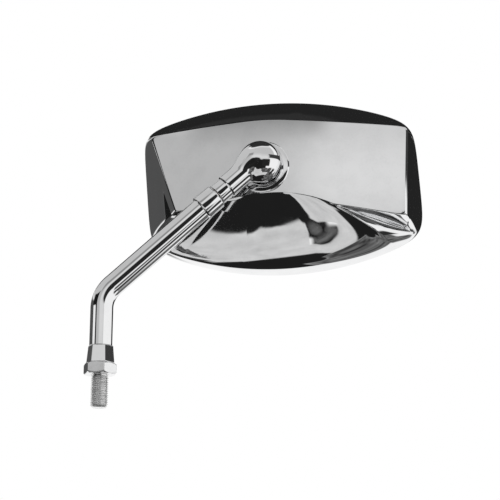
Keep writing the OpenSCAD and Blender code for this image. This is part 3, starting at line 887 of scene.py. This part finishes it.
@dataclass
class Elbow:
    """The cast elbow: a turned neck, an arm and a domed eye, run together."""

    places: Places
    stem: Stem
    around: int = 160
    swivel_gap: float = 0.3
    neck_l: float = 7.4
    neck_r: float = 6.5
    elbow_r: float = 7.25
    eye_r: float = 13.0
    dome_h: float = 8.6
    ball_neck_r: float = 8.5
    neck_drop: float = 4.2
    spigot_r: float = 3.5
    upper_blend: float = 7.0
    lower_blend: float = 1.6
    blend_half: float = 7.0
    longest_ray: float = 26.0
    ring_step: float = 0.4

    def distance(self, points: np.ndarray) -> np.ndarray:
        """Return about how far points are outside the elbow's rounded form.

        Args:
            points: Points in millimetres, in the arm's frame with Z from the bend's corner.

        Returns:
            The distances; below 0 is inside.
        """
        x, y, z = np.moveaxis(points, -1, 0)
        beyond = np.maximum(z - self.places.arm_length + self.elbow_r / 2, 0)
        arm = np.sqrt(x**2 + y**2 + beyond**2) - self.elbow_r
        local = placed(points, np.linalg.inv(self.places.at_eye()) @ self.places.along_arm(0))
        rho = np.hypot(local[..., 0], local[..., 1])
        up = local[..., 2]
        above = self._oval(rho, up, self.eye_r, self.dome_h)
        past_neck = np.maximum(rho - self.ball_neck_r, 0)
        below = self._oval(past_neck, up, self.eye_r - self.ball_neck_r, self.neck_drop)
        eye = np.where(up >= 0, above, np.maximum(below, -self.neck_drop - up))
        side = smoothstep((self.blend_half - x) / (2 * self.blend_half))
        reach = self.lower_blend + (self.upper_blend - self.lower_blend) * side
        share = np.clip(0.5 + 0.5 * (eye - arm) / reach, 0, 1)
        return eye + (arm - eye) * share - reach * share * (1 - share)

    @staticmethod
    def _oval(across: np.ndarray, up: np.ndarray, a: float, b: float) -> np.ndarray:
        """Return about how far points are outside an ellipse with semi-axes a and b."""
        size = np.hypot(across / a, up / b) + 1e-9
        slope = np.hypot(across / a**2, up / b**2) / size + 1e-9
        return (size - 1) / slope

    def reach_of(self, height: float, directions: np.ndarray) -> np.ndarray:
        """Find where rays from the arm's axis leave the elbow's rounded form.

        Args:
            height: The rays' start, from the bend's corner.
            directions: Unit directions.

        Returns:
            The points where the rays leave it.
        """
        origins = np.tile([0.0, 0.0, height], (self.around, 1))
        low = np.zeros(self.around)
        high = np.full(self.around, self.longest_ray)
        for _ in range(30):
            mid = (low + high) / 2
            inside = self.distance(origins + directions * mid[:, None]) < 0
            low = np.where(inside, mid, low)
            high = np.where(inside, high, mid)
        return origins + directions * low[:, None]

    def build(self, finishes: Finishes) -> None:
        """Make the elbow from rings round its arm and a fan round its eye.

        Args:
            finishes: The materials.
        """
        circle = ring_at(0.0, 1.0, self.around)
        start = self.stem.tube_end + self.swivel_gap
        shoulder = start + self.neck_l
        end = self.places.arm_length
        corners = [(0.0, start + 4), (self.spigot_r, start + 4), (self.spigot_r, start)]
        corners += [(self.neck_r - 0.5, start), (self.neck_r, start + 0.5), (self.neck_r, shoulder)]
        corners += [(self.elbow_r - 0.8, shoulder), (self.elbow_r, shoulder + 0.8)]
        corners.append((self.elbow_r, shoulder + 1.6))
        rings = turned(rounded(corners, [0, 0, 0, 0.15, 0.15, 0.12, 0.1, 0.25, 0]), self.around)
        for s in np.arange(shoulder + 2.0, end - 0.01, self.ring_step):
            rings.append(self.reach_of(s, circle))
        for tilt in np.radians(np.linspace(0, 90, 57)):
            rings.append(self.reach_of(end, circle * math.cos(tilt) + np.array([0, 0, math.sin(tilt)])))
        rings[-1] = np.tile(rings[-1].mean(axis=0), (self.around, 1))
        piece = Piece("elbow_skin", Body.ELBOW, Slot.CHROME, ("elbow",))
        piece.from_rings(rings, finishes.elbow, self.places.along_arm(0))


@dataclass
class BallJoint:
    """The ball under the elbow's eye, with its neck and the shank that holds it."""

    places: Places
    ball_r: float = 11.5
    ball_neck_r: float = 8.5
    neck_drop: float = 4.2
    shank_r: float = 4.0
    shank_l: float = 7.0

    def build(self, finishes: Finishes) -> None:
        """Make the ball and its neck.

        Args:
            finishes: The materials.
        """
        neck_top = self.places.eye_mid - self.neck_drop
        meet = math.acos(self.ball_neck_r / self.ball_r)
        turns = np.linspace(-math.pi / 2, meet, 49)
        profile = [(self.ball_r * math.cos(t), self.ball_r * math.sin(t)) for t in turns]
        profile[0] = (0.0, -self.ball_r)
        height = self.ball_r * math.sin(meet)
        shares = (0.0, 0.25, 0.5, 0.75, 1.0)
        profile += [(self.ball_neck_r, height + 0.02 + (neck_top - height) * s) for s in shares]
        top = neck_top + self.shank_l
        profile += [(self.shank_r, neck_top), (self.shank_r, top), (0.0, top)]
        piece = Piece("ball_skin", Body.ELBOW, Slot.CHROME, ("ball_stud",))
        piece.from_rings(turned(profile), finishes.ball, self.places.at_ball())


@dataclass
class Head:
    """The chromed shell with its back panel, roof, walls and chin, and the glass in its rim.

    Its plan is seen from behind, with the ball's axis in the middle. Bearings are in degrees from X.
    """

    places: Places
    around: int = 720
    ball_depth: float = 5.5
    opening_r: float = 11.4
    boss_r: float = 16.3
    boss_h: float = 1.2
    rim_left: float = 79.7
    rim_right: float = 90.7
    rim_top: float = 52.0
    rim_top_r: float = 216.0
    rim_top_x: float = -10.5
    rim_bottom: float = 59.1
    rim_bottom_r: float = 185.0
    rim_bottom_x: float = 14.2
    rim_lean: float = 1.4
    rim_level: float = -28.122
    rim_cant: float = 5.1
    rim_tilt: float = -5.0
    rim_power: float = 16.0
    near_run: float = 19.6
    near_facing: float = 194.3
    far_run: float = 4.6
    far_facing: float = -7.3
    roof_run: float = 21.0
    roof_facings: tuple[float, float] = (88.0, 79.4)
    lower_sides: Profile = ((-105.9, 17.0), (-86.0, 15.4))
    crease_drop: float = 16.6
    crease_r: float = 85.0
    crease_x: float = -3.9
    panel_power: float = 40.0
    chin_start: float = -155.0
    chin_tip: float = -27.3
    chin_slope: float = 1.05
    chin_lead: float = 0.32
    chin_skirt: float = 9.5
    shell_wall: float = 1.6
    panel_crown: float = 500.0
    panel_crown_v: float = 600.0
    glass_inset: float = 0.8
    glass_t: float = 2.2
    gasket_w: float = 1.8
    wall_bulge: float = 0.075
    edge_drop: float = 1.3
    edge_run: float = 1.5
    tip_run: float = 2.2
    left_wall: float = 148.0
    right_wall: float = 62.0
    angles: np.ndarray = field(init=False)
    signed: np.ndarray = field(init=False)
    rim: np.ndarray = field(init=False)
    panel: np.ndarray = field(init=False)

    def __post_init__(self) -> None:
        """Lay out the rim's and the panel's outlines."""
        self.angles = spread(self.around)
        degrees = np.degrees(self.angles)
        self.signed = np.where(degrees > 180, degrees - 360, degrees)
        self.rim = self.polar(self.rim_ray())
        self.panel = self.polar(self.panel_ray())

    @property
    def skirt_h(self) -> float:
        """Height of the straight skirt round the glass."""
        return self.glass_inset + self.glass_t

    def polar(self, radius: np.ndarray) -> np.ndarray:
        """Return plan points at distances from the ball's axis."""
        return np.stack([radius * np.cos(self.angles), radius * np.sin(self.angles)], axis=1)

    def line(self, facing: float, distance: float) -> np.ndarray:
        """Return how far away a straight side is along each ray.

        Args:
            facing: Which way the side faces, in degrees.
            distance: Its distance from the ball's axis.

        Returns:
            The distances along the rays.
        """
        cosine = np.cos(self.angles - math.radians(facing))
        return np.where(cosine > 0.02, distance / np.maximum(cosine, 0.02), FAR)

    def arc(self, x: float, y: float, radius: float, near: bool = False) -> np.ndarray:
        """Return how far away a circle is along each ray.

        Args:
            x: Where the circle's centre is across.
            y: Where the circle's centre is up.
            radius: Its radius.
            near: Whether the rays meet it from outside, on its near side.

        Returns:
            The distances along the rays.
        """
        b = x * np.cos(self.angles) + y * np.sin(self.angles)
        q = b * b - x * x - y * y + radius * radius
        if near:
            return np.where((b > 0) & (q > 0), b - np.sqrt(np.maximum(q, 0)), FAR)
        return b + np.sqrt(q)

    @staticmethod
    def soft_min(values: Sequence[np.ndarray], power: float) -> np.ndarray:
        """Return the smallest of several distances, rounded off where two of them meet."""
        return sum(v**-power for v in values) ** (-1 / power)

    def rim_ray(self) -> np.ndarray:
        """Return the rim's distance along each ray."""
        right = self.line(-self.rim_lean, self.rim_right)
        left = self.line(180 - self.rim_lean, self.rim_left)
        top = self.arc(self.rim_top_x, self.rim_top - self.rim_top_r, self.rim_top_r)
        bottom = self.arc(self.rim_bottom_x, self.rim_bottom_r - self.rim_bottom, self.rim_bottom_r)
        return self.soft_min([right, left, top, bottom], self.rim_power)

    def panel_ray(self) -> np.ndarray:
        """Return the back panel's edge along each ray."""
        sides = [self.line(self.far_facing, self.rim_right - self.far_run)]
        sides.append(self.line(self.near_facing, self.rim_left - self.near_run))
        sides += [self.line(facing, self.rim_top - self.roof_run) for facing in self.roof_facings]
        sides.append(np.maximum(*(self.line(*side) for side in self.lower_sides)))
        sides.append(self.arc(self.crease_x, -self.crease_drop - self.crease_r, self.crease_r, near=True))
        return self.soft_min(sides, self.panel_power)

    def panel_w(self, plan: np.ndarray) -> np.ndarray:
        """Return the crowned panel's height over plan points."""
        x, y = plan.T
        return self.ball_depth - x**2 / (2 * self.panel_crown) - y**2 / (2 * self.panel_crown_v)

    def boss_foot(self) -> np.ndarray:
        """Return how far the rounded boss round the opening reaches."""
        return np.minimum(self.boss_r, self.panel_ray() - 0.2)

    def boss(self, plan: np.ndarray) -> np.ndarray:
        """Return the boss's height over plan points, one on each ray."""
        foot = self.boss_foot()
        share = np.clip((foot - np.linalg.norm(plan, axis=1)) / (foot - self.opening_r), 0, 1)
        return self.boss_h * np.sqrt(np.clip(1 - (1 - 1.25 * share) ** 2, 0, 1))

    def rim_w(self, plan: np.ndarray) -> np.ndarray:
        """Return the height of the rim's canted plane over plan points."""
        cant, tilt = (math.tan(math.radians(angle)) for angle in (self.rim_cant, self.rim_tilt))
        return self.rim_level - cant * plan[:, 0] - tilt * plan[:, 1]

    def rise(self, start: float, run: float) -> np.ndarray:
        """Return a smooth rise from 0 to 1 that starts at a bearing and takes run degrees."""
        return smoothstep((self.signed - start) / run)

    def fall(self, end: float, run: float) -> np.ndarray:
        """Return a smooth fall from 1 to 0 that ends at a bearing and takes run degrees."""
        return smoothstep((end - self.signed) / run)

    def chin_part(self) -> np.ndarray:
        """Return 1 along the chin and 0 at the walls beside it."""
        return self.rise(self.chin_start, 2.5) * self.fall(self.chin_tip + 1.5, 1.5)

    def skirt(self) -> np.ndarray:
        """Return the height of the straight skirt, which grows under the chin."""
        grown = self.rise(self.chin_start - 3, 10) * self.fall(self.chin_tip - 4, 34)
        return self.skirt_h + self.chin_skirt * grown

    def crease(self) -> tuple[np.ndarray, np.ndarray]:
        """Find the line where the walls and the chin start.

        Returns:
            Its plan points and heights.
        """
        depth = self.rim_ray() - self.panel_ray()
        near_tip = self.rise(self.chin_tip - 6, 6) * self.fall(self.chin_tip + 2, 6)
        at_left = smoothstep((np.abs(self.signed) - self.left_wall) / 8)
        at_right = smoothstep((self.right_wall - np.abs(self.signed)) / 10)
        wanted = self.edge_run * (1.0 + 1.2 * at_left - 0.5 * at_right) + self.tip_run * near_tip
        reach = np.minimum(depth * 0.97, wanted)
        plan = self.polar(self.panel_ray() + np.minimum(0.5 * depth + self.tip_run, reach))
        run = np.linalg.norm(plan - self.rim, axis=1)
        whole = np.maximum(depth - self.edge_run, run)
        low = self.rim_w(self.rim) + self.skirt()
        high = self.panel_w(plan) - self.edge_drop * (1 - 0.65 * self.chin_part())
        on_wall = low + (high - low) * np.minimum(1.0, run / whole)
        on_chin = np.minimum(high, low + self.chin_slope * run)
        return plan, on_wall + (on_chin - on_wall) * self.chin_part()

    @staticmethod
    def ring(plan: np.ndarray, height: np.ndarray) -> np.ndarray:
        """Join plan points and heights."""
        return np.column_stack([plan, height])

    @staticmethod
    def corner(before: np.ndarray, here: np.ndarray, after: np.ndarray, reach: float, steps: int) -> Rings:
        """Round the corner that three rings make.

        Args:
            before: The ring before the corner.
            here: The corner's ring.
            after: The ring after it.
            reach: How far the rounding reaches to both sides.
            steps: Rings on the rounding.

        Returns:
            The rings of the rounding.
        """
        ends = []
        for side in (before - here, after - here):
            share = np.minimum(0.48, reach / np.maximum(np.linalg.norm(side, axis=1), 1e-9))
            ends.append(here + side * share[:, None])
        return [curve(ends[0], here, ends[1], t) for t in np.linspace(0, 1, steps)]

    def inset(self, plan: np.ndarray, distance: float) -> np.ndarray:
        """Move a plan line inwards, square to itself."""
        along = np.roll(plan, -1, axis=0) - np.roll(plan, 1, axis=0)
        along /= np.linalg.norm(along, axis=1)[:, None]
        return plan + distance * np.column_stack([-along[:, 1], along[:, 0]])

    def wall(self, share: float, plan: np.ndarray, height: np.ndarray) -> np.ndarray:
        """Return a ring on the crowned wall between the skirt and the crease.

        Args:
            share: 0 at the skirt, 1 at the crease.
            plan: The crease's plan points.
            height: The crease's heights.

        Returns:
            The ring.
        """
        low = self.rim_w(self.rim) + self.skirt()
        run = np.linalg.norm(plan - self.rim, axis=1)
        out = (self.rim - plan) / np.maximum(run, 1e-9)[:, None]
        middle = (self.rim + plan) / 2 + out * (self.wall_bulge * run * 0.8)[:, None]
        crowned = self.ring(middle, (low + height) / 2 + 2 * self.wall_bulge * run)
        rounded_in = self.ring(self.rim, np.maximum(height - self.chin_lead * run, low + 0.1 * run))
        bend = crowned + (rounded_in - crowned) * self.chin_part()[:, None]
        return curve(self.ring(self.rim, low), bend, self.ring(plan, height), share)

    def build(self, finishes: Finishes) -> None:
        """Make the shell, the glass and the gasket."""
        self.shell(finishes)
        self.glass(finishes)
        self.gasket(finishes)

    def over_panel(self, plan: np.ndarray, drop: float = 0.0) -> np.ndarray:
        """Return a ring on the panel, or at a drop under it."""
        return self.ring(plan, self.panel_w(plan) - drop)

    def field_rings(self, opening: np.ndarray) -> Rings:
        """Return the rings that fill the panel from its edge to the opening.

        Args:
            opening: The opening's plan points.

        Returns:
            The rings.
        """
        foot = self.polar(self.boss_foot())
        flat = (0.97, 0.9, 0.8, 0.65, 0.5, 0.35, 0.2, 0.1, 0.03)
        raised = (0.0, 0.01, 0.03, 0.06, 0.11, 0.18, 0.27, 0.38, 0.5, 0.62, 0.74, 0.86, 0.94, 1.0)
        plans = [foot + (self.panel - foot) * s for s in flat]
        plans += [foot + (opening - foot) * s for s in raised]
        return [self.ring(p, self.panel_w(p) + self.boss(p)) for p in plans]

    def inner_rings(self, opening: np.ndarray, plan: np.ndarray, height: np.ndarray) -> Rings:
        """Return the rings of the shell's inner side, from the opening to the rim.

        Args:
            opening: The opening's plan points.
            plan: The crease's plan points.
            height: The crease's heights.

        Returns:
            The rings.
        """
        thick = self.shell_wall
        rim_high = self.rim_w(self.rim) + self.skirt()
        rings = [self.over_panel(opening + (self.panel - opening) * s, thick) for s in (0.35, 0.75)]
        rings.append(self.over_panel(self.inset(self.panel, thick * 1.7), thick))
        under = self.inset(plan, thick * 1.2)
        rings.append(self.ring(under, np.maximum(height - thick, rim_high + 0.6)))
        middle = self.wall(0.5, plan, height)
        under = self.inset(middle[:, :2], thick * 1.1)
        rings.append(self.ring(under, np.maximum(middle[:, 2] - thick * 0.8, rim_high + 0.3)))
        inner = self.inset(self.rim, thick)
        level = self.rim_w(inner)
        rings.append(self.ring(inner, np.maximum(rim_high, level + self.skirt_h + 0.1)))
        rings.append(self.ring(inner, level))
        return rings

    def shell(self, finishes: Finishes) -> None:
        """Make the shell as one closed wall with rounded edges.

        Args:
            finishes: The materials.
        """
        plan, height = self.crease()
        opening = self.polar(np.full(self.around, self.opening_r))
        inside = self.inner_rings(opening, plan, height)
        low = self.ring(self.rim, self.rim_w(self.rim))
        high = self.ring(self.rim, self.rim_w(self.rim) + self.skirt())
        walls = [self.wall(s, plan, height) for s in np.linspace(0.04, 0.96, 24)]
        crease = self.ring(plan, height)
        edge = self.over_panel(self.panel)
        panels = self.field_rings(opening)
        lip = self.over_panel(opening, self.shell_wall)
        rings = self.corner(inside[-1], low, high, 0.6, 5)
        rings += self.corner(low, high, walls[0], 0.8, 5)
        rings += walls
        rings += self.corner(walls[-1], crease, edge, 0.5, 5)
        last = rings[-1]
        turn_in = self.corner(crease, edge, panels[0], 1.2, 7)
        rings += [last + (turn_in[0] - last) * s for s in (0.04, 0.15, 0.35, 0.6, 0.85, 0.96)]
        rings += turn_in
        rings += panels[:-1]
        rings += self.corner(panels[-2], panels[-1], lip, 0.6, 5)
        rings += [lip, *inside]
        piece = Piece("shell_skin", Body.HEAD, Slot.CHROME, ("mirror_shell",))
        piece.from_rings(rings, finishes.shell, self.places.in_head(), loop=True, sharp=60.0)

    def level(self, distance: float, height: float) -> np.ndarray:
        """Return a ring inside the rim, at a height above its plane."""
        plan = self.inset(self.rim, distance)
        return self.ring(plan, self.rim_w(plan) + height)

    def glass(self, finishes: Finishes) -> None:
        """Make the glass with its edges ground.

        Args:
            finishes: The materials.
        """
        edge = self.shell_wall + self.gasket_w
        low = self.glass_inset
        top = low + self.glass_t
        ground = 0.3
        centre = np.zeros((self.around, 2))
        steps = ((edge + ground, low), (edge, low + ground), (edge, top - ground), (edge + ground, top))
        rings = [self.ring(centre, self.rim_w(centre) + low)]
        rings += [self.level(*step) for step in steps]
        rings.append(self.ring(centre, self.rim_w(centre) + top))
        piece = Piece("glass_skin", Body.HEAD, Slot.GLASS, ("mirror_glass",))
        piece.from_rings(rings, finishes.glass, self.places.in_head(), sharp=30.0)

    def gasket(self, finishes: Finishes) -> None:
        """Make the gasket with its rounded lip over the glass's edge.

        Args:
            finishes: The materials.
        """
        outer = self.shell_wall
        edge = outer + self.gasket_w
        low = self.glass_inset
        top = low + self.glass_t
        lip = 0.6
        steps = [(outer, 0.4), (outer, top), (edge, top), (edge, low), (edge + 1.1, low)]
        for t in np.linspace(0, math.pi / 2, 6):
            steps.append((edge + 1.2 - lip * (1 - math.cos(t)), low - 0.1 - lip * math.sin(t)))
        steps.append((outer + 0.3, 0.1))
        rings = [self.level(*step) for step in steps]
        piece = Piece("gasket_skin", Body.HEAD, Slot.RUBBER, ("rim_gasket",))
        piece.from_rings(rings, finishes.rubber, self.places.in_head(), loop=True, sharp=50.0)


def dress(nodes: dict[str, bpy.types.Object], finishes: Finishes) -> None:
    """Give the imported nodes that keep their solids' shapes their materials.

    Args:
        nodes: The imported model's nodes.
        finishes: The materials.
    """
    uses = (
        (finishes.bronze, ("swivel_bush",)),
        (finishes.zinc, ("swivel_spigot", "pressure_cup", "bracket_plate", "bracket_screws")),
        (finishes.spring, ("wave_washer", "retaining_ring", "disc_spring", "lock_washers")),
        (finishes.nylon, ("outer_seat", "inner_seat")),
        (finishes.cast, ("socket_housing",)),
        (finishes.plastic, ("backing_plate",)),
        (finishes.foam, ("foam_pad",)),
    )
    for material, names in uses:
        for name in names:
            for slot in nodes[name].material_slots:
                slot.material = material
            LOG.info("%s: %s", name, material.name)


@dataclass(frozen=True)
class Card:
    """A soft-edged field of the studio, between two bearings and two elevations in degrees.

    A bearing of 0 is the side that the mirror's back faces, 90 its right and 180 behind the glass.
    """

    level: float
    bearing: tuple[float, float]
    elevation: tuple[float, float]
    soft: float
    ragged: float = 0.0
    mottle: float = 0.0

    def over(self, graph: Graph, level: Value, ray: Sequence[Socket]) -> Socket:
        """Lay the card over what is there.

        Args:
            graph: The world's graph.
            level: The brightness so far.
            ray: The ray's bearing and elevation in degrees, and the noise that makes the card's
                edges ragged and mottles it.

        Returns:
            The new brightness.
        """
        bearing, elevation, ripple = ray
        elevation = graph.add(elevation, graph.mul(ripple, 2 * self.ragged))
        middle = (self.bearing[0] + self.bearing[1]) / 2
        half = (self.bearing[1] - self.bearing[0]) / 2
        low, high = self.elevation
        mask: Value = 1.0
        if half < 180:
            away = graph.math("ABSOLUTE", graph.math("WRAP", graph.sub(bearing, middle), 180.0, -180.0))
            mask = graph.ramp(away, half - self.soft, half + self.soft, 1.0, 0.0)
        if low > -90:
            mask = graph.mul(mask, graph.ramp(elevation, low - self.soft, low + self.soft))
        if high < 90:
            mask = graph.mul(mask, graph.ramp(elevation, high - self.soft, high + self.soft, 1.0, 0.0))
        mottled = graph.math("MAXIMUM", graph.add(graph.mul(ripple, 4 * self.mottle), 1.0), 0.1)
        own = graph.mul(mottled, self.level)
        return graph.add(graph.mul(level, graph.sub(1.0, mask)), graph.mul(mask, own))


@dataclass
class Studio:
    """The backdrop, the floor, the lamp and the camera."""

    target: tuple[float, float, float] = (86.06, 0.0, 75.40)
    distance: float = 800.0
    elevation: float = -16.0
    lens: float = 97.9
    base: float = 1.0
    plain: float = 0.9
    cards: tuple[Card, ...] = (
        Card(0.018, (92.0, 228.0), (26.0, 82.0), 3.0),
        Card(0.018, (-160.0, -100.0), (62.0, 82.0), 3.0),
        Card(0.60, (-130.0, 60.0), (24.0, 63.0), 4.0),
        Card(0.03, (-180.0, 180.0), (68.0, 90.0), 3.0),
        Card(0.085, (-172.0, -94.0), (0.5, 22.0), 2.0),
        Card(0.011, (-95.0, -45.0), (-24.0, 30.0), 1.0),
        Card(0.95, (-88.0, -60.0), (11.5, 14.8), 0.8),
        Card(0.05, (24.0, 132.0), (15.2, 30.0), 1.2),
        Card(0.53, (-46.0, 26.0), (9.0, 26.0), 1.5),
        Card(0.80, (-18.0, 24.0), (9.0, 26.0), 9.0),
        Card(0.30, (-38.0, -12.0), (25.2, 38.0), 3.2),
        Card(0.018, (128.0, 168.0), (-5.0, 28.0), 3.0),
        Card(0.014, (-62.0, 14.0), (-40.0, 9.0), 2.0),
        Card(0.02, (-2.0, 30.0), (-18.0, 10.3), 2.0),
        Card(0.10, (-2.0, 54.0), (-50.0, -26.0), 3.0, 5.0, 1.4),
        Card(0.13, (40.0, 165.0), (-78.0, -41.0), 3.0, 4.0, 1.0),
        Card(0.13, (106.0, 142.0), (-45.0, -22.0), 3.0, 4.0, 1.0),
        Card(0.66, (-72.0, -5.0), (-66.0, -28.5), 0.8, 2.2, 0.15),
        Card(0.66, (-10.0, 40.0), (-68.0, -48.0), 1.5, 2.0, 0.15),
        Card(0.06, (-120.0, -75.0), (-64.0, -8.0), 2.0),
        Card(0.03, (62.0, 86.0), (-56.0, -26.0), 4.0),
        Card(0.014, (-180.0, 40.0), (-90.0, -65.0), 1.5),
        Card(0.014, (-180.0, 180.0), (-90.0, -77.0), 1.5),
        Card(0.014, (165.0, 264.0), (-90.0, -44.0), 3.0),
    )

    def build(self) -> None:
        """Make the world, the floor, the lamp and the camera."""
        self.world()
        self.floor()
        self.lamp()
        self.camera()
        bpy.context.scene.view_settings.view_transform = "Standard"

    def world(self) -> None:
        """Paint the studio round the object, and a white ground behind it for the camera."""
        world = bpy.data.worlds.new("studio")
        bpy.context.scene.world = world
        world.use_nodes = True
        world.node_tree.nodes.clear()
        graph = Graph(world.node_tree)
        x, y, z = graph.split(graph.node("ShaderNodeTexCoord").outputs["Generated"])
        bearing = graph.mul(graph.math("ARCTAN2", x, graph.mul(y, -1.0)), math.degrees(1))
        elevation = graph.mul(graph.math("ARCSINE", z), math.degrees(1))
        noise = graph.node("ShaderNodeTexNoise", {"Scale": 7.0, "Detail": 4.0}).outputs["Fac"]
        ripple = graph.sub(noise, 0.5)
        level: Value = self.base
        for card in self.cards:
            level = card.over(graph, level, (bearing, elevation, ripple))
        path = graph.node("ShaderNodeLightPath").outputs
        seen = graph.math("MAXIMUM", path["Is Glossy Ray"], path["Is Transmission Ray"])
        level = graph.add(graph.mul(level, seen), graph.mul(graph.sub(1.0, seen), self.plain))
        colour = graph.xyz(level, level, level)
        studio = graph.node("ShaderNodeBackground", {"Color": colour, "Strength": 1.0}).outputs[0]
        ground = graph.node("ShaderNodeBackground", {"Color": grey(1.0)}).outputs[0]
        shares = {0: path["Is Camera Ray"], 1: studio, 2: ground}
        choose = graph.node("ShaderNodeMixShader", shares).outputs[0]
        graph.node("ShaderNodeOutputWorld", {0: choose})

    def floor(self) -> None:
        """Lay a pale floor that metal sees past, to the studio behind it."""
        mesh = bpy.data.meshes.new("floor")
        corners = [(-3, -3, -0.3), (3, -3, -0.3), (3, 3, -0.3), (-3, 3, -0.3)]
        mesh.from_pydata(corners, [], [(0, 1, 2, 3)])
        floor = linked("floor", mesh)
        material, graph, shader = new_material("pale_floor")
        graph.fill(shader, {"Base Color": grey(0.86), "Roughness": 0.9})
        glossy = graph.node("ShaderNodeLightPath").outputs["Is Glossy Ray"]
        clear = graph.node("ShaderNodeBsdfTransparent").outputs[0]
        choose = graph.node("ShaderNodeMixShader", {0: glossy, 1: shader.outputs[0], 2: clear})
        out = next(n for n in material.node_tree.nodes if n.type == "OUTPUT_MATERIAL")
        graph.fill(out, {"Surface": choose.outputs[0]})
        mesh.materials.append(material)

    def lamp(self) -> None:
        """Hang one broad soft lamp in front, above and to the left."""
        light = bpy.data.lights.new("soft_lamp", "AREA")
        light.shape = "SQUARE"
        light.size = 1.2
        light.energy = 14.0
        lamp = linked("soft_lamp", light)
        lamp.location = (-0.7, -1.3, 1.1)
        aim = Vector([c * MM for c in self.target]) - lamp.location
        lamp.rotation_euler = aim.to_track_quat("-Z", "Y").to_euler()
        lamp.visible_glossy = False

    def camera(self) -> None:
        """Set the camera a little below the mirror, facing its back."""
        data = bpy.data.cameras.new("camera")
        data.lens = self.lens
        data.sensor_width = 36.0
        camera = linked("camera", data)
        tilt = math.radians(self.elevation)
        away = Vector((0.0, -math.cos(tilt), math.sin(tilt)))
        camera.location = Vector([c * MM for c in self.target]) + away * self.distance * MM
        camera.rotation_euler = (-away).to_track_quat("-Z", "Y").to_euler()
        bpy.context.scene.camera = camera


def corners(box: Sequence[Sequence[float]]) -> list[list[float]]:
    """Return a box as plain lists of numbers."""
    return [[float(c) for c in corner] for corner in box]


def main() -> None:
    """Build and dress the mirror, then its studio."""
    logging.basicConfig(level=logging.INFO, format="%(name)s %(message)s")
    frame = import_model()
    finishes = Finishes()
    places = Places()
    foot = Foot()
    stem = Stem(places, foot)
    for part in (foot, stem, Elbow(places, stem), BallJoint(places), Head(places)):
        part.build(finishes)
    dress(frame["nodes"], finishes)
    Studio().build()


if __name__ == "__main__":
    main()
